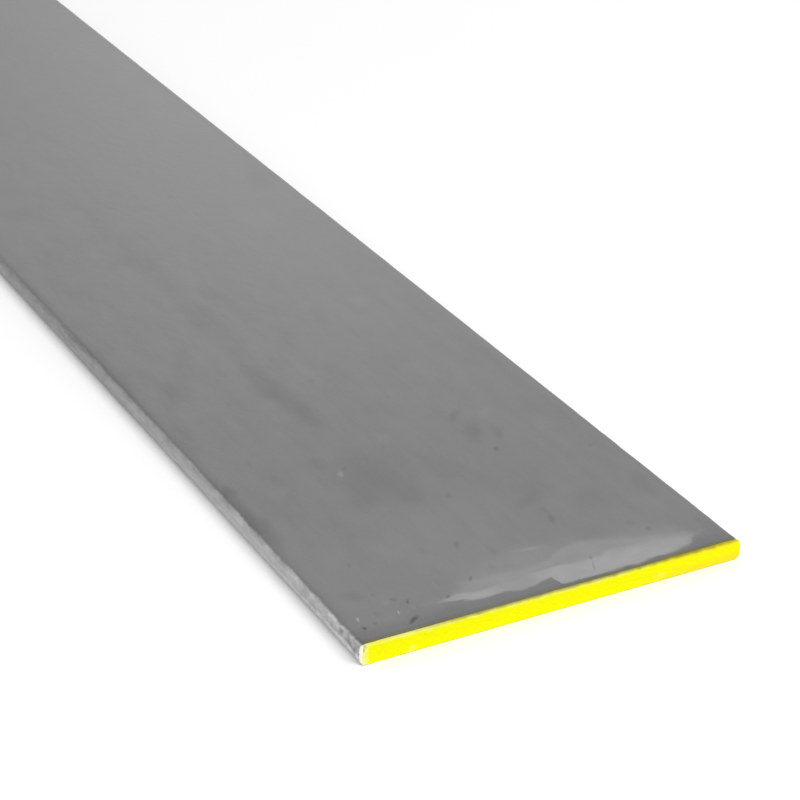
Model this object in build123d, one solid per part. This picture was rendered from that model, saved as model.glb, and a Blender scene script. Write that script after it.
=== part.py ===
"""Hot-rolled flat bar, cut to length: one solid piece of mild-steel stock.

Millimetres, +Z up. The origin is the middle of the underside. +X runs along the bar, towards
its colour-marked end, and +Y runs across it.

The bar is its rolled section, run along X, and trimmed by its side profile, run across Y.
The section gives the crowned long edges and the rounded long corners that the edging rolls
leave. The side profile gives the sheared ends: the blade draws the upper arris down into a
small radius, and the lower arris is broken where the burr was taken off.
"""
import os

from build123d import *

# Stock size
bar_length = 609.6  # cut length, 24 in
bar_width = 88.9  # 3-1/2 in, measured over the crowned edges
bar_thickness = 4.7625  # 3/16 in

# Rolled section
corner_radius = 1.1  # each of the four long corners
edge_crown = 0.25  # how far a long edge bulges at mid-thickness past its corners

# Sheared ends
rollover_radius = 0.5  # upper arris of each end, drawn down by the blade
burr_break = 0.15  # lower arris of each end, dressed off at 45 degrees

# Clearance of the trimming body past the bar on each side
trim_margin = 5.0

half_width = bar_width / 2
half_thickness = bar_thickness / 2
corner_limit = 0.98 * half_thickness  # a corner can't be rounder than the edge is deep


def rolled_section():
    """Section across the bar: flat top and underside, crowned edges, rounded corners."""
    shoulder = half_width - edge_crown
    with BuildSketch(Plane.YZ) as section:
        with BuildLine():
            top = Line((-shoulder, bar_thickness), (shoulder, bar_thickness))
            right = ThreePointArc(top @ 1, (half_width, half_thickness), (shoulder, 0))
            underside = Line(right @ 1, (-shoulder, 0))
            ThreePointArc(underside @ 1, (-half_width, half_thickness), top @ 0)
        make_face()
        fillet(section.vertices(), min(corner_radius, corner_limit))
    return section.sketch


def side_profile():
    """Profile along the bar: rolled-over upper arrises, dressed lower arrises."""
    with BuildSketch(Plane.XZ) as profile:
        Rectangle(bar_length, bar_thickness, align=(Align.CENTER, Align.MIN))
        fillet(profile.vertices().group_by(Axis.Y)[-1], rollover_radius)
        chamfer(profile.vertices().group_by(Axis.Y)[0], burr_break)
    return profile.sketch


def flat_bar():
    """The bar: its section run along X, trimmed to its side profile at both ends."""
    with BuildPart() as bar:
        extrude(rolled_section(), amount=bar_length / 2, both=True)
        extrude(side_profile(), amount=half_width + trim_margin, both=True, mode=Mode.INTERSECT)
    return bar.part.solid()


os.makedirs("parts", exist_ok=True)
bar = flat_bar()
bar.label = "flat_bar"
export_step(bar, "parts/flat_bar.step")
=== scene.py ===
"""Looks of one hot-rolled steel flat bar with a yellow colour mark painted on its +X end.

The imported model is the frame: the bar lies along X on its underside at Z = 0, and its marked
end faces +X. Sizes are in millimetres until a mesh is made. The detailed bar stands for the
CAD solid and adds the relief of rolling and shearing. The paint is a thin closed film.
"""
import math

import bmesh
import bpy
import numpy as np
from mathutils import Matrix, Vector, noise

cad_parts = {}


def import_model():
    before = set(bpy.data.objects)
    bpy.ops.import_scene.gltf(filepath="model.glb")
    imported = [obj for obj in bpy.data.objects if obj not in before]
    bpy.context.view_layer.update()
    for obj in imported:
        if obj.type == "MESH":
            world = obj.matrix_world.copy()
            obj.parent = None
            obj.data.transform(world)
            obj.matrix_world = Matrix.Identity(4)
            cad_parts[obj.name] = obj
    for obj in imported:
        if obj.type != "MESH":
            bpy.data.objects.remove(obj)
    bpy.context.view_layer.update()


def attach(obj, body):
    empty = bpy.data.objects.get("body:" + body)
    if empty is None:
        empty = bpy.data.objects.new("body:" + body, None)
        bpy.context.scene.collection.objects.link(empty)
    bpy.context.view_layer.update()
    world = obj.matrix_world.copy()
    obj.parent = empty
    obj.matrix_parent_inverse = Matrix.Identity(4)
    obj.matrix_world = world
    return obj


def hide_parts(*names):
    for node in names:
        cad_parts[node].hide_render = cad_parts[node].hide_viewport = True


MM = 0.001
SHARP = math.radians(38)

# ------------------------------------------------------------------ the bar's real sizes

LENGTH = 609.6
WIDTH = 88.9
THICKNESS = 4.7625
CORNER_RADIUS = 1.1
EDGE_CROWN = 0.25
ROLLOVER_RADIUS = 0.5
BURR_BREAK = 0.15

HALF_LENGTH = LENGTH / 2
HALF_WIDTH = WIDTH / 2
MID_HEIGHT = THICKNESS / 2

# The crowned edge is an arc, and each corner is tangent to it and to a flat
CROWN_RADIUS = (MID_HEIGHT**2 + EDGE_CROWN**2) / (2 * EDGE_CROWN)
CROWN_CENTRE = HALF_WIDTH - CROWN_RADIUS
CORNER_RISE = MID_HEIGHT - CORNER_RADIUS
CORNER_REACH = math.sqrt((CROWN_RADIUS - CORNER_RADIUS) ** 2 - CORNER_RISE**2)
FLAT_HALF = CROWN_CENTRE + CORNER_REACH
CROWN_ANGLE = math.atan2(CORNER_RISE, CORNER_REACH)

# ------------------------------------------------------------------ mesh density

FLAT_STEPS = 72  # across the top or the underside
CORNER_STEPS = 4  # round each long corner
CROWN_STEPS = 6  # up each rolled edge
FLAT_EVENNESS = 0.85  # 0 spaces a flat evenly, 1 crowds its steps towards the corners

NEAR_ZONE = 200.0  # this near the marked end the bar's map is finest
END_ZONE = 8.0  # this near either end the section has twice the points
# Distances from an end, each with the step that leads up to it
MARKED_STEPS = (
    (0.6, 0.1), (1.5, 0.3), (END_ZONE, 0.5), (40, 0.6), (150, 1.5), (NEAR_ZONE, 2.5), (HALF_LENGTH, 3),
)
PLAIN_STEPS = ((0.6, 0.15), (1.5, 0.3), (END_ZONE, 0.6), (40, 1.5), (HALF_LENGTH, 3))


def smooth(value, low, high):
    """0 below low, 1 above high, with an easy curve between."""
    share = np.clip((value - low) / (high - low), 0, 1)
    return share * share * (3 - 2 * share)


def rough(places, size, seed, octaves=1):
    """Noise of about -1 to 1 at each place, with features of one size or of (x, y, z)."""
    scaled = places / np.broadcast_to(size, 3) + seed * 17.3
    if octaves == 1:
        return np.array([noise.noise(Vector(p)) for p in scaled])
    return np.array([noise.fractal(Vector(p), 1.0, 2.0, octaves) for p in scaled])


# ------------------------------------------------------------------ the section


def arc(centre_y, centre_z, radius, start, end, steps):
    """Points (y, z, normal y, normal z) along an arc, without its last."""
    angle = start + (end - start) * np.arange(steps) / steps
    ny, nz = np.cos(angle), np.sin(angle)
    return np.stack([centre_y + radius * ny, centre_z + radius * nz, ny, nz], axis=1)


def section(level):
    """Points (y, z, normal y, normal z) round the section, clockwise as seen from +X.

    They start at the middle of the -Y top corner and run across the top first. Each level
    has twice the points of the one before, and keeps its points.
    """
    fine = 2**level
    flat, corner, crown = FLAT_STEPS * fine, CORNER_STEPS * fine, CROWN_STEPS * fine
    turn = (2 * np.arange(flat) / flat - 1) * FLAT_EVENNESS * math.pi / 2
    top = np.zeros((flat, 4)) + (0, THICKNESS, 0, 1)
    top[:, 0] = FLAT_HALF * np.sin(turn) / math.sin(FLAT_EVENNESS * math.pi / 2)
    upper, lower = THICKNESS - CORNER_RADIUS, CORNER_RADIUS
    half = np.concatenate([
        top,
        arc(FLAT_HALF, upper, CORNER_RADIUS, math.pi / 2, CROWN_ANGLE, corner),
        arc(CROWN_CENTRE, MID_HEIGHT, CROWN_RADIUS, CROWN_ANGLE, -CROWN_ANGLE, crown),
        arc(FLAT_HALF, lower, CORNER_RADIUS, -CROWN_ANGLE, -math.pi / 2, corner),
    ])
    other_half = (0, THICKNESS, 0, 0) - half
    return np.roll(np.concatenate([half, other_half]), corner // 2, axis=0)


def sides(level):
    """How many steps of the ring make its top or underside, and how many each edge."""
    return (FLAT_STEPS + CORNER_STEPS) * 2**level, (CROWN_STEPS + CORNER_STEPS) * 2**level


# ------------------------------------------------------------------ relief of the steel

TEAR_HEIGHT = 0.62 * THICKNESS  # a sheared end is scored above this and torn below
BLUNT_DEPTH = 0.33  # how far the marked end's -Y upright corner is knocked back
BLUNT_FLARE = 0.26  # how much further it is at its top
BLUNT_FACING = np.array([1, -1, 0]) / math.sqrt(2)
BLUNT_REACH = np.array([HALF_LENGTH, -HALF_WIDTH, 0]) @ BLUNT_FACING - BLUNT_DEPTH


def end_heights(height, distance):
    """Heights near a sheared end, with its rolled-over top arris and dressed lower arris."""
    over = max(ROLLOVER_RADIUS - distance, 0)
    top = THICKNESS - ROLLOVER_RADIUS + math.sqrt(ROLLOVER_RADIUS**2 - over**2)
    low = max(BURR_BREAK - distance, 0)
    above = height - MID_HEIGHT
    room = np.where(above > 0, top - MID_HEIGHT, MID_HEIGHT - low)
    return MID_HEIGHT + above * room / MID_HEIGHT


def skin_relief(places, normals):
    """How far the rolled skin stands proud of the plain section, along its normal."""
    near = np.exp((places[:, 0] - HALF_LENGTH) / 25)
    on_edge = np.abs(normals[:, 1])
    on_corner = 2 * np.abs(normals[:, 1] * normals[:, 2])
    broad = 0.014 * rough(places, (45, 22, 22), 1) + 0.006 * rough(places, (9, 6, 6), 2)
    lines = 0.035 * rough(places, (16, 1, 0.55), 3) + 0.022 * rough(places, (3.2, 1, 0.8), 4)
    pits = -0.06 * smooth(rough(places, (2.2, 1, 0.9), 5, 2), 0.25, 0.6)
    worn = 0.05 + 0.05 * rough(places, (7, 3, 3), 6) + 0.035 * rough(places, (1.9, 1, 1), 7)
    return (
        broad * (1 - on_edge)
        + (lines + pits) * on_edge * (0.7 + 0.8 * near)
        - worn * on_corner * (0.8 + 1.2 * near)
    )


def sheared_relief(places):
    """How far a sheared end stands out: scored by the blade above, torn and leaning below."""
    below = TEAR_HEIGHT - places[:, 2]
    torn = smooth(below, -0.25, 0.25)
    scored = 0.012 * rough(places, (1, 0.45, 30), 11)
    broken = 0.05 * rough(places, (1, 1.1, 0.7), 12, 2) - 0.03 * below
    inside = smooth(np.minimum(places[:, 2], THICKNESS - places[:, 2]), 0.05, 0.5)
    return (scored * (1 - torn) + broken * torn) * inside


def blunted(places):
    """The places, with what stands past the nicked facet of the blunt corner pushed onto it."""
    nicks = 0.07 * rough(places, (4, 4, 0.9), 21) + 0.04 * rough(places, 0.4, 22)
    flare = BLUNT_FLARE * smooth(places[:, 2], THICKNESS - 1.0, THICKNESS)
    past = places @ BLUNT_FACING - BLUNT_REACH + flare + nicks
    return places - np.clip(past, 0, None)[:, None] * BLUNT_FACING


def ring_surface(x, level):
    """Places and normals of the steel round the section at x."""
    ring, distance = section(level), HALF_LENGTH - abs(x)
    places = np.zeros((len(ring), 3)) + (x, 0, 0)
    places[:, 1], places[:, 2] = ring[:, 0], end_heights(ring[:, 1], distance)
    normals = np.zeros((len(ring), 3))
    normals[:, 1:] = ring[:, 2:]
    over = max(ROLLOVER_RADIUS - distance, 0) / ROLLOVER_RADIUS
    normals[:, 0] = math.copysign(over, x) * np.clip(ring[:, 3], 0, 1)
    normals /= np.linalg.norm(normals, axis=1)[:, None]
    proud = skin_relief(places, normals) * smooth(distance, 0, 1.0)
    return blunted(places + normals * proud[:, None]), normals


def end_rows(rim, level):
    """Rows of an end face's inner places, from the top down, blended between its rim's."""
    across, up = sides(level)
    starts = np.cumsum([0, across, up, across])
    top, right, low, left = (
        np.take(rim, range(start, start + count + 1), axis=0, mode="wrap")
        for start, count in zip(starts, (across, up, across, up))
    )
    low, left = low[::-1], left[::-1]
    u = np.linspace(0, 1, across + 1)[None, :, None]
    v = np.linspace(0, 1, up + 1)[:, None, None]
    rows = (1 - v) * top + v * low + (1 - u) * left[:, None] + u * right[:, None]
    rows -= (1 - v) * ((1 - u) * top[0] + u * top[-1]) + v * ((1 - u) * low[0] + u * low[-1])
    inner = rows[1:-1, 1:-1].reshape(-1, 3)
    inner[:, 0] += np.sign(inner[:, 0]) * sheared_relief(inner)
    return blunted(inner).reshape(up - 1, across - 1, 3)


# ------------------------------------------------------------------ meshes


class Skin:
    """Collects the vertices and faces of a piece."""

    def __init__(self):
        self.places, self.faces = [], []

    def add(self, places):
        """Adds vertices and returns their numbers."""
        start = len(self.places)
        self.places.extend(map(tuple, places))
        return np.arange(start, start + len(places))

    def join(self, ring, after):
        """Faces between two rings, of which one may have twice the other's points."""
        if len(ring) > len(after):
            ring, after = after, ring
        fine = len(after) // len(ring)
        for i, a in enumerate(ring):
            b = ring[(i + 1) % len(ring)]
            far = [after[(i * fine + step) % len(after)] for step in range(fine + 1)]
            if fine == 1:
                self.faces.append((a, b, far[1], far[0]))
            else:
                self.faces += [(a, far[1], far[0]), (a, b, far[1]), (b, far[2], far[1])]

    def cap(self, ring, inner, level):
        """Faces over an end: the ring round a grid of inner vertex numbers."""
        across, up = sides(level)
        grid = np.zeros((up + 1, across + 1), int)
        grid[0] = ring[: across + 1]
        grid[:, -1] = ring[across : across + up + 1]
        grid[-1] = ring[across + up : 2 * across + up + 1][::-1]
        grid[:, 0] = np.append(ring[2 * across + up :], ring[0])[::-1]
        grid[1:-1, 1:-1] = inner
        quads = np.stack([grid[:-1, :-1], grid[1:, :-1], grid[1:, 1:], grid[:-1, 1:]], axis=-1)
        self.faces.extend(map(tuple, quads.reshape(-1, 4)))

    def piece(self, name, material):
        """A new object of the collected mesh, in metres, with every face facing outwards."""
        mesh = bpy.data.meshes.new(name)
        mesh.from_pydata(np.array(self.places) * MM, [], [tuple(map(int, f)) for f in self.faces])
        turned = bmesh.new()
        turned.from_mesh(mesh)
        bmesh.ops.recalc_face_normals(turned, faces=turned.faces)
        turned.to_mesh(mesh)
        turned.free()
        mesh.shade_smooth()
        mesh.set_sharp_from_angle(angle=SHARP)
        mesh.materials.append(material)
        made = bpy.data.objects.new(name, mesh)
        bpy.context.scene.collection.objects.link(made)
        return made


def stations():
    """The bar's x stations from the plain end to the marked one, each with its section level."""
    found = []
    for sign, steps in ((-1, PLAIN_STEPS), (1, MARKED_STEPS)):
        distances = [0.0]
        for reach, step in steps:
            count = max(1, round((reach - distances[-1]) / step))
            distances.extend(np.linspace(distances[-1], reach, count + 1)[1:])
        half = [(sign * (HALF_LENGTH - d), int(d <= END_ZONE)) for d in distances]
        found += half if sign < 0 else half[-2::-1]
    return found


def lay_out(piece, size, chart_of_face, charts):
    """Writes the bake map, OFBake, which is size pixels wide.

    Each chart gives every vertex a place in pixels, (across, up), and each face has a chart.
    """
    mesh = piece.data
    places = np.array([np.stack(chart, axis=1) for chart in charts]) / size
    vertex = np.zeros(len(mesh.loops), int)
    mesh.loops.foreach_get("vertex_index", vertex)
    corners = np.zeros(len(mesh.polygons), int)
    mesh.polygons.foreach_get("loop_total", corners)
    layer = mesh.uv_layers.new(name="OFBake")
    layer.uv.foreach_set("vector", places[np.repeat(chart_of_face, corners), vertex].ravel())


def face_values(mesh):
    """The centre of every face, in millimetres, and its normal."""
    centres, normals = np.zeros((2, len(mesh.polygons), 3))
    mesh.polygons.foreach_get("center", centres.ravel())
    mesh.polygons.foreach_get("normal", normals.ravel())
    return centres / MM, normals


MAP_MARGIN = 6  # pixels kept clear at the map's left and foot
BAR_MAP = 1024  # pixels
# Charts of the bar's map: pixels to a millimetre, and the pixel row that each starts on
NEAR_SCALE, NEAR_ROW = 5.06, MAP_MARGIN
REST_SCALE, REST_ROW = 2.47, 511
UNDER_SCALE, UNDER_ROW = 1.66, 760
PLAIN_SCALE, PLAIN_ROW = 11.3, 914
MARKED_SCALE, MARKED_ROW = 8, 974


def make_bar(material):
    """The steel bar, in place of the CAD solid."""
    skin = Skin()
    rings = []
    for x, level in stations():
        places, _ = ring_surface(x, level)
        rings.append(skin.add(places))
        if abs(x) == HALF_LENGTH:
            inner = end_rows(places, level)
            skin.cap(rings[-1], skin.add(inner.reshape(-1, 3)).reshape(inner.shape[:2]), level)
        if len(rings) > 1:
            skin.join(rings[-2], rings[-1])
    bar = skin.piece("rolled_bar", material)

    x, y, z = np.array(skin.places).T
    girth = y + np.copysign(THICKNESS - z, y) + HALF_WIDTH + THICKNESS
    centres, normals = face_values(bar.data)
    chart = np.where(centres[:, 0] > HALF_LENGTH - NEAR_ZONE, 0, 1)
    chart[normals[:, 2] < -0.7] = 2
    chart[(normals[:, 0] < -0.8) & (centres[:, 0] < 0)] = 3
    chart[(normals[:, 0] > 0.6) & (centres[:, 0] > HALF_LENGTH - 1)] = 4
    along, across = x + HALF_LENGTH, y + HALF_WIDTH
    lay_out(bar, BAR_MAP, chart, (
        (MAP_MARGIN + (x - HALF_LENGTH + NEAR_ZONE) * NEAR_SCALE, NEAR_ROW + girth * NEAR_SCALE),
        (MAP_MARGIN + along * REST_SCALE, REST_ROW + girth * REST_SCALE),
        (MAP_MARGIN + along * UNDER_SCALE, UNDER_ROW + across * UNDER_SCALE),
        (MAP_MARGIN + across * PLAIN_SCALE, PLAIN_ROW + z * PLAIN_SCALE),
        (MAP_MARGIN + across * MARKED_SCALE, MARKED_ROW + z * MARKED_SCALE),
    ))
    return bar


def border(faces):
    """The edges that only one of the faces has."""
    found = {}
    for face in faces:
        for edge in zip(face, face[1:] + face[:1]):
            key = tuple(sorted(edge))
            found[key] = None if key in found else edge
    return [edge for edge in found.values() if edge]


FILM = 0.08  # thickness of the paint
FILM_SINK = 0.04  # how far the back of the film lies in the steel
FILM_LEVEL = 2
FILM_REACH = 1.2  # the film is cut out of a skin that reaches this far from the end
FILM_RINGS = 13
BARE_STRIP = 0.55  # bare steel beside the blunt corner
MARK_MAP = 256  # pixels
MARK_STRIPS = 4  # the mark's map shows its front in this many strips, one above the other
STRIP_ROWS = 61  # pixel rows from one strip to the next


def paint_cover(places, spreads, normals):
    """How far inside the painted area each place is, in millimetres; negative is bare."""
    lap_top = 0.30 + 0.05 * rough(places, (1, 6, 1), 31) + 0.03 * rough(places, (1, 0.8, 1), 32)
    lap_top += 0.15 * smooth(places[:, 1], 24, 30)
    lap_side = 0.55 + 0.30 * rough(places, (1, 1, 1.1), 33)
    lap_low = 0.10 + 0.05 * rough(places, (1, 1.5, 1), 34)
    lap = np.where(normals[:, 2] > 0.5, lap_top, np.where(normals[:, 2] < -0.5, lap_low, lap_side))
    edge = BARE_STRIP + 0.12 * rough(places, (9, 9, 0.9), 35) + 0.07 * rough(places, 0.35, 36)
    edge += 0.22 * smooth(places[:, 2], 3.9, 4.6)
    return np.minimum(lap - spreads, places[:, 1] + HALF_WIDTH - edge)


def make_mark(material):
    """The yellow mark: a thin closed film of paint lapped over the marked end's arrises."""
    skin = Skin()
    rings, places, normals, spreads = [], [], [], []
    outlines = []
    for distance in np.linspace(0, FILM_REACH, FILM_RINGS):
        steel, facing = ring_surface(HALF_LENGTH - distance, FILM_LEVEL)
        outlines.append(section(FILM_LEVEL)[:, 2:] * distance)
        if distance == 0:
            rim = steel
            facing = facing + (1, 0, 0)
            facing /= np.linalg.norm(facing, axis=1)[:, None]
        places.append(steel)
        normals.append(facing)
        spreads.append(np.full(len(steel), distance))
        rings.append(skin.add(steel))
        if len(rings) > 1:
            skin.join(rings[-2], rings[-1])
    inner = end_rows(rim, FILM_LEVEL)
    flat = inner.reshape(-1, 3)
    skin.cap(rings[0], skin.add(flat).reshape(inner.shape[:2]), FILM_LEVEL)
    places.append(flat)
    normals.append(np.zeros(flat.shape) + (1, 0, 0))
    spreads.append(np.zeros(len(flat)))
    outlines.append(np.zeros((len(flat), 2)))
    places, normals = np.concatenate(places), np.concatenate(normals)
    spreads, outlines = np.concatenate(spreads), np.concatenate(outlines)

    cover = paint_cover(places, spreads, normals)
    sprayed = 1 + 0.10 * rough(places, 0.7, 41) + 0.06 * rough(places, 0.3, 42)
    height = FILM * np.clip(cover / 0.25, -1, 1) * sprayed
    kept = [f for f in skin.faces if max(height[list(f)]) > -0.3 * FILM]
    front = places + normals * height[:, None]
    back = places - normals * (FILM_SINK + np.clip(-height, 0, None))[:, None]

    total = len(places)
    faces = kept + [tuple(c + total for c in f[::-1]) for f in kept]
    faces += [(b, a, a + total, b + total) for a, b in border(kept)]
    used = np.unique(np.concatenate([np.array(f) for f in faces]))
    renumber = np.zeros(2 * total, int)
    renumber[used] = np.arange(len(used))
    film = Skin()
    film.places = np.concatenate([front, back])[used]
    film.faces = [tuple(renumber[list(f)]) for f in faces]
    mark = film.piece("end_mark", material)

    flat = places[:, 1:] + outlines
    across, up = np.concatenate([flat, flat])[used].T
    centres, _ = face_values(mark.data)
    wide = WIDTH / MARK_STRIPS
    strip = np.clip((centres[:, 1] + HALF_WIDTH) // wide, 0, MARK_STRIPS - 1).astype(int)
    hidden = np.arange(len(faces)) >= len(kept)
    charts = [
        (
            MAP_MARGIN + (across + HALF_WIDTH - k * wide) * 10.7,
            MAP_MARGIN + STRIP_ROWS * k + (up + 0.8) * 8.6,
        )
        for k in range(MARK_STRIPS)
    ]
    charts.append((MAP_MARGIN + (across + HALF_WIDTH) * 2.6, 249 + (up + 0.8) * 0.5))
    lay_out(mark, MARK_MAP, np.where(hidden, MARK_STRIPS, strip), charts)
    return mark


# ------------------------------------------------------------------ materials


class Shader:
    """Builds one material's nodes. Places and sizes in it are in millimetres."""

    def __init__(self, name):
        self.material = bpy.data.materials.new(name)
        self.material.use_nodes = True
        self.tree = self.material.node_tree
        self.tree.nodes.clear()
        own = self.node("TexCoord").outputs["Object"]
        self.place = self.node("VectorMath", {0: own, "Scale": 1 / MM}, operation="SCALE").outputs[0]
        split = self.node("SeparateXYZ", {0: self.place}).outputs
        self.x, self.y, self.z = split[0], split[1], split[2]

    def node(self, kind, inputs=None, **settings):
        made = self.tree.nodes.new("ShaderNode" + kind)
        for name, value in settings.items():
            setattr(made, name, value)
        for name, value in (inputs or {}).items():
            if isinstance(value, bpy.types.NodeSocket):
                self.tree.links.new(value, made.inputs[name])
            else:
                made.inputs[name].default_value = value
        return made

    def maths(self, operation, *values):
        return self.node("Math", dict(enumerate(values)), operation=operation).outputs[0]

    def add(self, *values):
        total = values[0]
        for value in values[1:]:
            total = self.maths("ADD", total, value)
        return total

    def times(self, *values):
        total = values[0]
        for value in values[1:]:
            total = self.maths("MULTIPLY", total, value)
        return total

    def range(self, value, low, high, to_low=0.0, to_high=1.0):
        """An easy step of value from low to high."""
        return self.node(
            "MapRange",
            {"Value": value, "From Min": low, "From Max": high, "To Min": to_low, "To Max": to_high},
            interpolation_type="SMOOTHSTEP",
        ).outputs["Result"]

    def noise(self, size, seed, detail=0.0, place=None):
        """Noise of about -1 to 1 with features of size (x, y, z)."""
        scale = tuple(1 / s for s in size)
        at = self.node(
            "VectorMath", {0: place or self.place, 1: scale, 2: (seed * 7.3,) * 3}, operation="MULTIPLY_ADD"
        ).outputs[0]
        found = self.node("TexNoise", {"Vector": at, "Scale": 1.0, "Detail": detail})
        return self.maths("MULTIPLY_ADD", found.outputs[0], 4.0, -2.0)

    def curve(self, value, low, high, points):
        """A smooth curve through (value, result) points, for values from low to high."""
        top = max(result for _, result in points)
        share = self.maths("DIVIDE", self.maths("SUBTRACT", value, low), high - low)
        made = self.node("FloatCurve", {"Value": share})
        line = made.mapping.curves[0]
        while len(line.points) < len(points):
            line.points.new(0.5, 0.5)
        for point, (at, result) in zip(line.points, points):
            point.location = ((at - low) / (high - low), result / top)
        made.mapping.update()
        return self.maths("MULTIPLY", made.outputs[0], top)

    def shifted(self, across, along, reach, reach_along=None):
        """Places pushed about by two noises: by reach in x, and by reach_along in y."""
        push = self.node(
            "CombineXYZ",
            {0: self.times(across, reach), 1: self.times(along, reach_along or reach)},
        ).outputs[0]
        return self.node("VectorMath", {0: self.place, 1: push}, operation="ADD").outputs[0]

    def blend(self, share, first, second):
        """The number first where share is 0, and second where it is 1."""
        return self.node(
            "Mix", {"Factor": share, "A": first, "B": second}, data_type="FLOAT"
        ).outputs[0]

    def spot(self, centre, half_sizes, turns=(0, 0, 0), place=None):
        """1 at the centre of a soft ellipsoid and 0 outside it. Its turns are in degrees."""
        local = self.node(
            "Mapping",
            {
                "Vector": place or self.place,
                "Location": centre,
                "Rotation": tuple(map(math.radians, turns)),
                "Scale": half_sizes,
            },
            vector_type="TEXTURE",
        ).outputs[0]
        inside = self.node("TexGradient", {"Vector": local}, gradient_type="SPHERICAL").outputs[1]
        return self.range(inside, 0.0, 0.85)

    def finish(self, **inputs):
        """Ends in one Principled shader with these inputs."""
        sockets = {
            name.replace("_", " ").title().replace("Ior", "IOR"): value
            for name, value in inputs.items()
        }
        shader = self.node("BsdfPrincipled", sockets)
        self.tree.links.new(shader.outputs[0], self.node("OutputMaterial").inputs["Surface"])
        return self.material


STEEL = 0.215  # brightness of the rolled faces
EDGE_STEEL_AND_REFLECTION = 0.43  # of the rolled edges: brighter bare steel, raised further as a painted reflection of a bright floor
CUT_STEEL = 0.36  # of the plain end's cut face
BARE_STEEL_GLINT = (0.92, 0.90, 0.76)  # of the freshly knocked corner, which holds a trace of paint: burnished steel, lightened to near white as a painted reflection of the bright surroundings
PAINT_MIST = (1.03, 0.95, 0.28)  # tints the steel beside the paint

# Borders of the rubbed smear beside the mark, as (y, distance from the marked end): a haze
# lies outermost, a veil within it, and the smear itself is nearest to the end
SMEAR_INNER = (
    (-45, 6), (-24, 6.2), (-20, 5.6), (-15, 4.4), (-9, 4.2), (-5, 3.8), (1, 4.6), (2, 2.3), (5, 1.6),
    (27, 2), (35, 3.7), (38.5, 6), (45, 6),
)
SMEAR_OUTER = (
    (-45, 6), (-24, 6.5), (-20, 7.6), (-15, 6.3), (-10, 6.7), (0, 7.6), (14, 7.4), (18, 8),
    (23, 7.4), (30, 6.8), (37, 5.2), (45, 4),
)
VEIL_OUTER = (
    (-45, 5), (-24, 7), (-17, 10), (-10, 11), (0, 10), (12, 14), (20, 12.5), (25, 10.5),
    (33, 8.3), (38, 7), (45, 5),
)
HAZE_OUTER = ((-45, 5), (-24, 8), (-13, 14), (0, 18), (15, 15), (33, 12), (40, 6), (45, 5))
# How strong the smear and the veil are across the bar, as (y, strength)
SMEAR_SHINE = (
    (-45, 0), (-25, 0), (-23, 0.8), (-17, 0.9), (-10, 0.4), (-5, 0.15), (0, 0.6), (5, 0.8),
    (20, 0.8), (30, 0.5), (35, 0.45), (39, 0), (45, 0),
)
VEIL_SHINE = ((-45, 0), (-24, 0), (-12, 0.9), (0, 1), (30, 1), (38, 0.8), (40, 0), (45, 0))

# Marks on the top: (distance from the marked end, y), (half length, half width), turn in
# degrees from the bar's length, and how much brighter or darker the middle is
STAINS = (
    # the dark band that runs along the bar, and its darker patches
    ((97, -13), (28, 5), 4, -0.12), ((86, -11), (10, 3), 0, -0.05),
    ((55, -12), (22, 10), -8, -0.1), ((45, -8), (8, 4), -20, -0.06),
    ((48, -19), (7, 5), -20, -0.06), ((66, -19), (5, 4), 0, -0.07),
    ((140, -12), (30, 6), 4, -0.06), ((180, -13), (40, 6), 0, -0.05),
    # the cluster of dark patches, with light ones round it
    ((64, 18), (7, 3), -30, -0.12), ((73, 18), (5, 2), -40, -0.12),
    ((62, 23), (5, 2), -20, -0.12), ((71, 25), (4, 2), -30, 0.06),
    ((86, 17), (4, 2), -20, 0.06),
    # dark patches nearer the mark
    ((33, 13), (7, 3), -55, -0.07), ((36, 15), (6, 8), 0, -0.06),
    ((28, 26), (8, 6), -30, -0.05), ((28, 39), (8, 3), -20, -0.09),
    ((16, -38), (3, 4), 0, -0.08), ((8, 41), (4, 2), 0, -0.09),
    # beside the -Y arris
    ((64, -42), (4, 2), 0, -0.16), ((50, -42.5), (18, 3), 0, -0.12),
    ((90, -41), (12, 3), 0, -0.08), ((125, -42), (20, 3), 0, -0.06),
    # the rest
    ((110, -34), (7, 5), 0, -0.09), ((59, -33), (4, 3), 0, 0.06),
    ((70, -1), (4, 3), -30, 0.05), ((60, 34), (5, 3), -30, 0.04),
    ((12, -30), (6, 5), 0, 0.05), ((148, -4), (14, 4), 10, -0.05),
    ((132, 14), (8, 3), -10, -0.05), ((134, 27), (4, 4), 0, 0.05),
    ((190, 25), (14, 8), 0, 0.03), ((215, 38), (12, 5), -15, -0.05),
)
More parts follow.
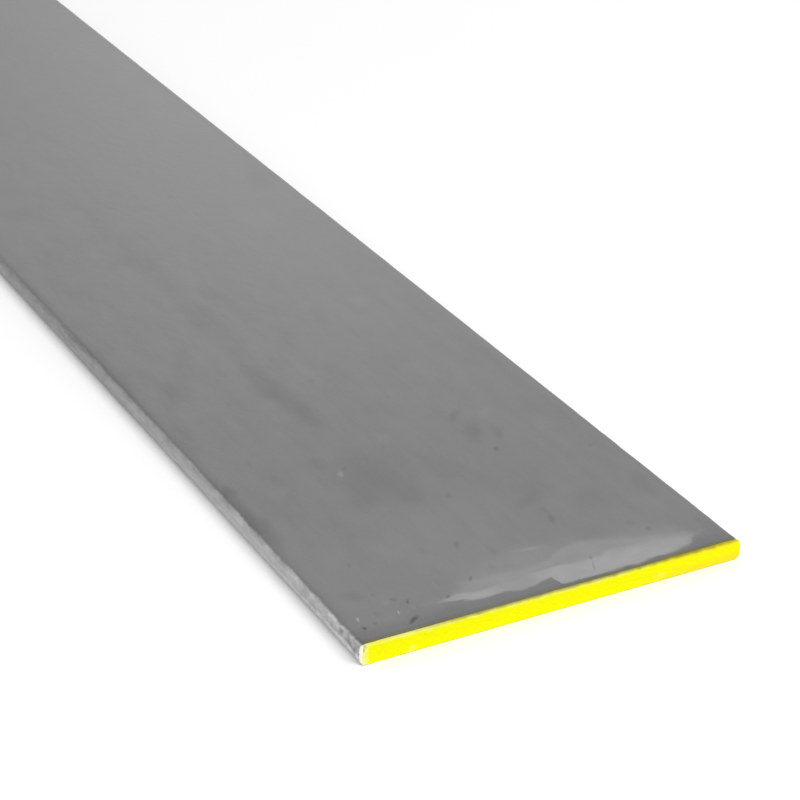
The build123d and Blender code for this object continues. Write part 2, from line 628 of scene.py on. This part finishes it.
SPECKS = (
    # dark ones out on the face
    ((55, 18.5), (1.5, 1), -10, -0.2), ((42, -1), (2, 1), -30, -0.12),
    ((47.5, 38), (1.5, 1), -40, -0.08), ((28, 14), (2.5, 1), 0, -0.1),
    ((24, 13.5), (3, 1), -20, -0.13), ((24, -9.5), (2.5, 1), -30, -0.14),
    ((25, -17), (2, 1), -20, -0.06), ((26.5, -33), (1.5, 0.8), -20, -0.08),
    ((67, -3.5), (1, 0.7), -20, -0.06), ((87, 8.5), (2, 1.5), 0, -0.04),
    ((101.5, -3.5), (1.5, 1), -20, -0.07), ((99.5, -25.5), (1.5, 0.8), -20, -0.07),
    ((73, -33), (2.5, 1), -20, -0.06), ((65, -31), (2, 1), -20, -0.05),
    # round the smear
    ((11.5, -13.5), (1.5, 0.7), -30, -0.25), ((12, 29.5), (1.3, 1), -20, -0.17),
    ((15.5, 27.5), (1.5, 1.5), 20, -0.09), ((13, 26.5), (1.2, 0.7), -20, 0.06),
    ((7.7, -21), (0.6, 1), 20, -0.38), ((13, -7.5), (1.5, 1.5), 0, -0.08),
    ((12.5, -4.5), (1, 0.8), 0, -0.06), ((18, -4), (2, 1.5), -25, -0.05),
    ((16, 3), (0.9, 4.5), -8, 0.14), ((7.5, 12.5), (1.2, 0.5), -20, -0.35),
    # scratches and chips towards the knocked corner
    ((3.5, -31), (2.6, 0.8), -55, -0.4), ((9.5, -29), (1.3, 0.5), -30, -0.33),
    ((11.5, -31), (1, 1), 0, -0.15), ((11, -33), (1.5, 1), -30, 0.1),
    ((7.5, -29), (1.5, 0.8), 0, 0.06), ((7, -32.5), (0.8, 0.4), -20, 0.6),
    ((8.3, -40.7), (1.2, 0.5), -25, 0.6), ((5, -41), (1, 0.7), -20, -0.38),
    ((5.7, -38.3), (0.9, 0.6), -10, -0.22), ((8.5, -36.5), (1.2, 1), 0, -0.1),
    ((15, -34), (1.3, 0.6), -25, -0.06), ((17.3, -20), (1, 0.5), -25, 0.07),
    # the bright chip in the dark band, with its dark end
    ((60, -17.5), (2, 0.9), -20, 0.28), ((62, -15.5), (1.2, 0.7), -30, -0.1),
)
BARE_SPREAD = 0.95  # how far the bare steel reaches along the end from the knocked corner
CRACK = ((7, 12.5), (2, 10))  # ends of the hairline crack, as (distance, y)
CRACK_HALF_WIDTH = 0.3
CRACK_REACH = 0.62  # its soft ends run on: half its drawn length over its length
# How much each makes the face brighter or darker
SMEAR_GAIN, VEIL_GAIN, HAZE_GAIN, SHADE_GAIN = 0.36, 0.16, 0.12, -0.15
SIDE_GAIN, ARRIS_GAIN, CRACK_GAIN = -0.13, -0.08, -0.3

# Marks on the -Y edge: (distance from the marked end, z), (half length, half height), and as above
EDGE_MARKS = (
    ((54.5, 3.6), (3.5, 1.2), 0, 0.15), ((40.5, 3.8), (3.5, 1), 0, 0.14),
    ((28.5, 4), (4, 1), 0, 0.17), ((11.5, 4.2), (2.5, 0.9), 0, 0.15),
    ((9, 1.5), (6.5, 1.5), 0, 0.22), ((8, 3.2), (1.3, 1.2), 30, -0.28),
    ((8, 4.1), (0.8, 0.6), 0, 0.25), ((4.5, 3), (1.8, 1), -35, -0.36),
    ((2.7, 1.5), (0.9, 1.6), 0, -0.4), ((1.6, 1.2), (0.5, 1.2), 0, 0.6),
)


def top_marks(s, place, marks):
    """The sum of the masks of marks on the top, each times its strength."""
    return s.add(*(
        s.times(
            s.spot(
                (HALF_LENGTH - distance, y, THICKNESS), (*half_sizes, THICKNESS), (0, 0, turn), place
            ),
            strength,
        )
        for (distance, y), half_sizes, turn, strength in marks
    ))


def edge_marks(s, place, marks):
    """The same for marks on the -Y edge."""
    return s.add(*(
        s.times(
            s.spot(
                (HALF_LENGTH - distance, -HALF_WIDTH, z), (long, THICKNESS, high), (0, -turn, 0), place
            ),
            strength,
        )
        for (distance, z), (long, high), turn, strength in marks
    ))


def clouding(s, from_mark):
    """Broad clouds, mottling, rolling lines and grain over the whole skin, about 0."""
    calm = s.range(from_mark, 130.0, 300.0, 0.65, 1.0)
    mottled = s.range(from_mark, 50.0, 150.0, 0.04, 0.08)
    lined = s.range(from_mark, 80.0, 200.0, 1.0, 0.5)
    darker_low_y = s.times(
        s.range(s.y, 20.0, 0.0, 0.0, -0.065), s.range(from_mark, 28.0, 50.0),
        s.range(from_mark, 200.0, 250.0, 1.0, 0.55),
    )
    light_border = s.times(s.range(s.y, 40.5, 43.5, 0.0, 0.12), s.range(from_mark, 40.0, 80.0))
    return s.add(
        s.times(s.noise((60, 18, 18), 1, 2.0), 0.055, calm),
        s.times(s.noise((13, 6, 6), 2, 3.0), 0.060, calm),
        s.times(s.noise((9, 4, 4), 28, 3.0), mottled),
        s.times(s.noise((180, 1.6, 4), 3, 1.0), 0.016, lined),
        s.times(s.noise((0.9, 0.7, 0.7), 4, 3.0), 0.035),
        s.range(from_mark, 25.0, 60.0, 0.0, -0.035),
        darker_low_y,
        light_border,
    )


def smearing(s, on_top):
    """The smear wiped across the bar beside the mark, its veil and haze, and the shade below."""
    wiped = s.shifted(s.noise((2.4, 6, 6), 8, 3.0), s.noise((4, 3, 3), 9, 3.0), 0.6, 1.0)
    split = s.node("SeparateXYZ", {0: wiped}).outputs
    distance = s.maths("SUBTRACT", HALF_LENGTH, split[0])
    inner, outer, veil_outer, haze_outer, shine, veil_shine = (
        s.curve(split[1], -45, 45, points)
        for points in (SMEAR_INNER, SMEAR_OUTER, VEIL_OUTER, HAZE_OUTER, SMEAR_SHINE, VEIL_SHINE)
    )
    past_inner = s.maths("SUBTRACT", distance, inner)
    # Its borders are softer towards +Y
    inner_blur = s.range(split[1], 24.0, 36.0, 0.5, 1.3)
    outer_blur = s.range(split[1], 6.0, 28.0, 0.7, 1.6)
    inside = s.times(s.range(past_inner, s.times(inner_blur, -1.0), inner_blur), on_top)
    within = s.maths("SUBTRACT", outer, distance)
    in_smear = s.range(within, s.times(outer_blur, -1.0), outer_blur)
    in_veil = s.range(s.maths("SUBTRACT", veil_outer, distance), -1.0, 1.2)
    in_haze = s.range(s.maths("SUBTRACT", haze_outer, distance), -2.0, 4.0)
    wipes = s.add(1.0, s.times(s.noise((2.2, 5, 5), 17, 3.0), 0.12))
    smear = s.times(inside, in_smear, shine, wipes)
    veil = s.times(inside, in_veil, veil_shine, wipes)
    haze = s.times(inside, in_haze, wipes)
    shade = s.times(s.range(past_inner, 0.3, -0.7), s.range(distance, 6.5, 2.0), on_top)
    return smear, veil, haze, shade


def cracking(s, on_top):
    """The hairline crack in the scale that crosses the smear."""
    (start, start_y), (end, end_y) = CRACK
    run, rise = start - end, end_y - start_y
    warp = s.shifted(s.noise((2.5, 2.5, 2.5), 23), s.noise((2.5, 2.5, 2.5), 24), 0.14)
    centre = (HALF_LENGTH - (start + end) / 2, (start_y + end_y) / 2, THICKNESS)
    half_sizes = (math.hypot(run, rise) * CRACK_REACH, CRACK_HALF_WIDTH, THICKNESS)
    line = s.spot(centre, half_sizes, (0, 0, math.degrees(math.atan2(rise, run))), warp)
    return s.times(line, on_top)


def edging(s, from_mark, warp):
    """The rolled edges' tone: lengthwise streaks, patches and rougher handling near the mark, over a painted
    reflection that brightens them, most low down near the mark.
    """
    handled = s.range(from_mark, 45.0, 4.0)
    streaks = s.add(
        s.times(s.noise((22, 3, 0.7), 5, 2.0), 0.10),
        s.times(s.noise((6, 3, 1.6), 6, 3.0), 0.13),
        s.times(s.noise((1.6, 3, 0.9), 7, 3.0), s.add(0.08, s.times(handled, 0.24))),
    )
    marks = edge_marks(s, warp, EDGE_MARKS)
    upper = s.times(s.range(s.z, 2.9, 4.3), s.range(from_mark, 25.0, 60.0, 0.04, -0.19))
    # Painted light: the lower edge is made lighter near the mark, against the floor's shade at its foot
    lower = s.times(s.range(s.z, 2.5, 1.3), s.range(from_mark, 15.0, 100.0, 0.38, 0.13))
    fading = s.range(from_mark, 60.0, 150.0, 1.0, 0.73)
    total = s.add(0.92, upper, lower, streaks, marks, s.times(handled, 0.06))
    return s.times(total, fading, EDGE_STEEL_AND_REFLECTION)


def cutting(s, from_side):
    """Where the plain end is bare from the cut, and its tone: scored above, torn below."""
    cut = s.times(
        s.range(s.add(s.x, HALF_LENGTH), 0.40, 0.25), s.range(from_side, 0.3, 0.6),
        s.range(s.z, THICKNESS - 0.35, THICKNESS - 0.6), s.range(s.z, 0.12, 0.3),
    )
    tear = s.add(s.z, s.times(s.noise((1, 2.5, 1), 25, 2.0), 0.3))
    scored = s.add(1.0, s.times(s.noise((1, 0.35, 12), 26, 2.0), 0.22))
    torn = s.add(0.70, s.times(s.noise((1, 0.9, 0.6), 27, 3.0), 0.16))
    below = s.range(tear, TEAR_HEIGHT + 0.2, TEAR_HEIGHT - 0.2)
    return cut, s.times(s.blend(below, scored, torn), CUT_STEEL)


def baring_with_glint(s, from_mark):
    """Where the knocked corner is bare and takes a painted glint."""
    along_facing = s.maths("SUBTRACT", s.x, s.y)
    past_corner = s.maths("SUBTRACT", along_facing, HALF_LENGTH + HALF_WIDTH - BARE_SPREAD)
    return s.times(
        s.range(s.add(past_corner, s.times(s.noise((2, 2, 0.9), 19, 2.0), 0.12)), -0.25, 0.15),
        s.range(from_mark, 0.75, 0.55),
        s.range(s.noise((0.5, 0.5, 0.5), 20, 2.0), -1.1, -0.6),
    )


def steel():
    """Hot-rolled steel: clouded faces, brighter streaked edges with a painted reflection in their tone, a
    rubbed smear by the mark, and a knocked corner painted near white as a glint.
    """
    s = Shader("mill_steel")
    from_mark = s.maths("SUBTRACT", HALF_LENGTH, s.x)
    from_side = s.maths("SUBTRACT", HALF_WIDTH, s.maths("ABSOLUTE", s.y))
    on_top = s.range(s.z, THICKNESS - 0.6, THICKNESS - 0.2)
    ragged = s.add(
        from_side,
        s.times(s.noise((5, 2, 1), 12, 2.0), 0.14),
        s.times(s.noise((1.3, 1.3, 1), 22, 2.0), 0.10),
    )
    on_edge = s.range(ragged, 0.76, 0.26)

    soft_warp = s.shifted(s.noise((7, 7, 7), 13, 2.0), s.noise((7, 7, 7), 14, 2.0), 1.3)
    fine_warp = s.shifted(s.noise((1.2, 1.2, 1.2), 15, 2.0), s.noise((1.2, 1.2, 1.2), 16, 2.0), 0.22)
    clouds = clouding(s, from_mark)
    stains = s.times(top_marks(s, soft_warp, STAINS), on_top)
    specks = s.times(top_marks(s, fine_warp, SPECKS), on_top)
    smear, veil, haze, shade = smearing(s, on_top)
    crack = cracking(s, on_top)

    # Darker scale along the long arrises, and a dark line along the marked end's arris
    along_side = s.times(
        s.range(from_side, 3.2, 1.0), s.range(s.noise((22, 6, 6), 18, 2.0), -0.9, 0.9, 0.3, 1.0),
        s.range(s.y, -30.0, 30.0, 1.0, 0.3),
    )
    arris = s.times(s.range(from_mark, 2.1, 1.2), s.range(from_mark, -0.2, 0.6), on_top)

    face_tone = s.add(
        1.0, clouds, stains, specks,
        s.times(smear, SMEAR_GAIN), s.times(veil, VEIL_GAIN), s.times(haze, HAZE_GAIN),
        s.times(shade, SHADE_GAIN), s.times(along_side, SIDE_GAIN), s.times(arris, ARRIS_GAIN),
        s.times(crack, CRACK_GAIN),
    )
    rolled = s.blend(on_edge, s.times(face_tone, STEEL), edging(s, from_mark, fine_warp))
    cut, cut_tone = cutting(s, from_side)
    tone = s.blend(cut, rolled, cut_tone)

    # A mist of paint tints the steel beside the mark
    mist = s.times(
        s.range(from_mark, 1.7, 0.5), s.range(s.noise((1.5, 3, 3), 21, 2.0), -1.2, 0.8, 0.6, 1.0),
        s.range(s.y, 23.0, 29.0, 0.62, 1.0), on_top,
    )
    # The knocked corner's bare steel, with a painted glint that makes it near white
    bare_and_glint = baring_with_glint(s, from_mark)
    colour = s.node("CombineColor", {
        channel: s.blend(bare_and_glint, s.times(tone, s.blend(mist, 1.0, tint)), glint_tone)
        for channel, (tint, glint_tone) in enumerate(zip(PAINT_MIST, BARE_STEEL_GLINT))
    }).outputs[0]

    gloss = s.add(
        0.44, s.times(clouds, 0.5), s.times(smear, -0.10), s.times(on_edge, 0.04),
        s.times(specks, -0.2),
    )
    height = s.add(
        s.times(s.noise((0.8, 0.5, 0.5), 10, 3.0), 0.005),
        s.times(s.noise((3, 2, 2), 11, 2.0), 0.008),
        s.times(crack, -0.06),
        s.times(specks, 0.02),
    )
    bump = s.node("Bump", {"Height": height, "Distance": MM, "Strength": 1.0}).outputs[0]
    return s.finish(base_color=colour, metallic=1.0, roughness=gloss, normal=bump)


PAINT = (0.93, 0.92, 0.0)
WARM_PAINT = (0.94, 0.775, 0.02)
# Pale paint of the pale spots, also used as a painted highlight along the top arris
PALE_PAINT_AND_HIGHLIGHT = (0.93, 0.91, 0.31)
ARRIS_PAINT_SHADE = 0.31  # brightness of the thin paint on the arris, darkened there as painted shade of the rolled-over arris
# Marks in the paint: (y, z), (half width, half height), strength
PALE_SPOTS = (
    ((-33.0, 0.7), (1.2, 1.1), 1.0), ((-29.2, 3.9), (1.6, 0.7), 0.35), ((24.5, 1.3), (2.4, 1.0), 0.5),
)
DIRT_SPOTS = (((-43.8, 3.45), (0.55, 0.8), 0.45), ((-43.5, 4.3), (0.4, 0.5), 0.35))


def paint_marks(s, place, marks):
    """The sum of the masks of marks in the paint, each times its strength."""
    return s.add(*(
        s.times(s.spot((HALF_LENGTH, y, z), (THICKNESS, *half_sizes), place=place), strength)
        for (y, z), half_sizes, strength in marks
    ))


def mark_paint():
    """Chalky bright yellow marking paint: a painted highlight along its top and painted shade on the
    rolled-over arris, warmer at its +Y end.
    """
    s = Shader("mark_paint")
    low_right = s.times(s.range(s.y, 12.0, 36.0), s.range(s.z, 2.8, 0.4))
    top_right = s.times(s.range(s.y, 24.0, 30.0), s.range(s.z, 3.4, 4.5), 0.75)
    warm = s.times(s.range(s.noise((5, 6, 2.4), 1, 2.0), -1.5, 0.3), s.maths("MAXIMUM", low_right, top_right))

    patches = s.range(s.noise((4, 3, 3), 9, 2.0), -0.9, 0.6, 0.5, 1.15)
    # A painted highlight: the paint turns paler in patches along its top, where it rolls over the arris, less
    # so towards +Y
    top_highlight = s.times(
        s.range(s.z, 3.6, 4.7), s.range(s.y, 28.0, 10.0, 0.08, 0.65), patches,
        s.range(s.y, -42.0, -34.0, 0.7, 1.0),
    )
    by_corner = s.range(s.add(s.y, s.times(s.noise((2, 2, 1.2), 2, 2.0), 0.4)), -42.15, -43.9)
    speckle = s.range(s.noise((0.5, 0.5, 0.35), 3, 2.0), -0.5, 0.9)
    spots = s.times(paint_marks(s, s.place, PALE_SPOTS), speckle)
    pale_and_highlight = s.maths("MINIMUM", s.add(top_highlight, by_corner, spots), 1.0)
    body = s.node("Mix", {"Factor": warm, "A": (*PAINT, 1), "B": (*WARM_PAINT, 1)}, data_type="RGBA")
    colour = s.node("Mix", {"Factor": pale_and_highlight, "A": body.outputs[2], "B": (*PALE_PAINT_AND_HIGHLIGHT, 1)}, data_type="RGBA")

    ragged = s.add(s.z, s.times(s.noise((2, 2, 2), 6, 3.0), 0.14))
    # Painted shade: the paint is darkened along the rolled-over arris
    arris_shading = s.times(
        s.range(ragged, 4.05, 4.87), s.range(s.y, -38.0, -18.0, 0.25, 1.0),
        s.range(s.y, 28.0, 42.0, 1.0, 0.8),
    )
    warp = s.shifted(s.noise((0.5, 0.5, 0.5), 7, 2.0), s.noise((0.5, 0.5, 0.5), 8, 2.0), 0.12)
    dirt = paint_marks(s, warp, DIRT_SPOTS)
    # Painted shade on the arris and real dirt spots both darken the paint
    shade = s.maths("MULTIPLY_ADD", arris_shading, ARRIS_PAINT_SHADE - 1, s.maths("SUBTRACT", 1.0, dirt))
    shaded_and_dirtied = s.node("VectorMath", {0: colour.outputs[2], "Scale": shade}, operation="SCALE").outputs[0]
    gloss = s.add(0.50, s.times(s.noise((1.2, 0.9, 0.9), 4, 2.0), 0.06))
    height = s.times(s.noise((0.5, 0.45, 0.45), 5, 2.0), 0.010)
    bump = s.node("Bump", {"Height": height, "Distance": MM, "Strength": 1.0}).outputs[0]
    return s.finish(base_color=shaded_and_dirtied, roughness=gloss, specular_ior_level=0.05, normal=bump)


# ------------------------------------------------------------------ stage, light and camera

FLOOR_SIZE = 12.0  # metres
FLOOR_DROP = 0.00005  # metres; keeps the floor's plane clear of the bar's underside
FLOOR_TONE = 0.93
FLOOR_GLOW = 0.13  # light added where the floor is seen, to whiten it
FLOOR_FADE = (40.0, 320.0)  # distances from the bar over which the floor seen turns plain white
SKY = 0.60  # strength of the even light from all round
CAMERA_AT = (639.43, -228.16, 260.60)
CAMERA_AIM = (220.50, 10.42, THICKNESS)  # what the middle of the picture shows
CAMERA_ROLL = 1.824  # degrees
FOCAL_PIXELS = 2400
PICTURE_PIXELS = 800
SENSOR = 36.0
# Lamps: name, place and size in metres, and power in watts
LAMPS = (
    ("key_light", (1.3, 0.45, 1.5), 1.2, 18.5),
    ("back_card", (-1.3, 0.75, 0.4), 0.5, 0.52),
)


def seen(shader):
    """1 for the rays that show the background: from the camera, in metal or through glass."""
    path = shader.node("LightPath").outputs
    shows = shader.maths("MAXIMUM", path["Is Camera Ray"], path["Is Glossy Ray"])
    return shader.maths("MAXIMUM", shows, path["Is Transmission Ray"])


def make_floor():
    """A plain pale floor that keeps the bar's shadow.

    It is clear from below, and for what leaves the underside that rests on it, so that the
    underside can be looked at.
    """
    s = Shader("pale_floor")
    shown = seen(s)
    glow = s.node("Emission", {"Color": (1, 1, 1, 1), "Strength": s.times(shown, FLOOR_GLOW)}).outputs[0]
    matte = s.node("BsdfDiffuse", {"Color": (FLOOR_TONE, FLOOR_TONE, FLOOR_TONE, 1)}).outputs[0]
    near = s.node("AddShader", {0: glow, 1: matte}).outputs[0]
    past_end = s.maths("MAXIMUM", s.maths("SUBTRACT", s.maths("ABSOLUTE", s.x), HALF_LENGTH), 0.0)
    from_bar = s.maths("SQRT", s.add(s.times(past_end, past_end), s.times(s.y, s.y)))
    white = s.node("Emission", {"Color": (1, 1, 1, 1), "Strength": 1.0}).outputs[0]
    fade = s.times(shown, s.range(from_bar, *FLOOR_FADE))
    lit = s.node("MixShader", {0: fade, 1: near, 2: white}).outputs[0]
    close = s.maths("LESS_THAN", s.node("LightPath").outputs["Ray Length"], 2 * FLOOR_DROP)
    below = s.maths("MAXIMUM", s.node("NewGeometry").outputs["Backfacing"], close)
    clear = s.node("BsdfTransparent").outputs[0]
    both = s.node("MixShader", {0: below, 1: lit, 2: clear}).outputs[0]
    s.tree.links.new(both, s.node("OutputMaterial").inputs["Surface"])
    mesh = bpy.data.meshes.new("floor")
    half = FLOOR_SIZE / 2
    corners = ((-half, -half), (half, -half), (half, half), (-half, half))
    mesh.from_pydata([(x, y, -FLOOR_DROP) for x, y in corners], [], [(0, 1, 2, 3)])
    mesh.materials.append(s.material)
    floor = bpy.data.objects.new("floor", mesh)
    bpy.context.scene.collection.objects.link(floor)


def make_world():
    """White behind everything, and a plain soft sky for light."""
    world = bpy.data.worlds.new("studio")
    bpy.context.scene.world = world
    world.use_nodes = True
    nodes, links = world.node_tree.nodes, world.node_tree.links
    nodes.clear()
    path = nodes.new("ShaderNodeLightPath")
    shows = nodes.new("ShaderNodeMath")
    shows.operation = "MAXIMUM"
    links.new(path.outputs["Is Camera Ray"], shows.inputs[0])
    links.new(path.outputs["Is Glossy Ray"], shows.inputs[1])
    through = nodes.new("ShaderNodeMath")
    through.operation = "MAXIMUM"
    links.new(shows.outputs[0], through.inputs[0])
    links.new(path.outputs["Is Transmission Ray"], through.inputs[1])
    sky, white = (nodes.new("ShaderNodeBackground") for _ in range(2))
    mix = nodes.new("ShaderNodeMixShader")
    for background, strength in ((sky, SKY), (white, 1.0)):
        background.inputs["Color"].default_value = (1, 1, 1, 1)
        background.inputs["Strength"].default_value = strength
    links.new(through.outputs[0], mix.inputs[0])
    links.new(sky.outputs[0], mix.inputs[1])
    links.new(white.outputs[0], mix.inputs[2])
    links.new(mix.outputs[0], nodes.new("ShaderNodeOutputWorld").inputs["Surface"])


def make_lamp(name, at, size, power):
    """A round lamp that faces the middle of the bar and isn't seen itself."""
    lamp = bpy.data.lights.new(name, "AREA")
    lamp.shape, lamp.size, lamp.energy = "DISK", size, power
    made = bpy.data.objects.new(name, lamp)
    made.location = at
    made.rotation_euler = (-Vector(at)).to_track_quat("-Z", "Y").to_euler()
    made.visible_camera = False
    bpy.context.scene.collection.objects.link(made)


def make_camera():
    """The photo's camera, from its fitted place, aim and roll."""
    data = bpy.data.cameras.new("camera")
    data.sensor_width = SENSOR
    data.lens = FOCAL_PIXELS * SENSOR / PICTURE_PIXELS
    data.clip_start, data.clip_end = 0.01, 100
    place, aim = Vector(CAMERA_AT) * MM, Vector(CAMERA_AIM) * MM
    facing = (aim - place).to_track_quat("-Z", "Y").to_matrix().to_4x4()
    camera = bpy.data.objects.new("camera", data)
    roll = Matrix.Rotation(math.radians(CAMERA_ROLL), 4, "Z")
    camera.matrix_world = Matrix.Translation(place) @ facing @ roll
    bpy.context.scene.collection.objects.link(camera)
    bpy.context.scene.camera = camera


def main():
    scene = bpy.context.scene
    scene.view_settings.view_transform = "Standard"
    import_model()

    bar = make_bar(steel())
    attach(bar, "root")
    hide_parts("flat_bar")
    mark = make_mark(mark_paint())
    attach(mark, "root")

    make_floor()
    make_world()
    for lamp in LAMPS:
        make_lamp(*lamp)
    make_camera()


main()
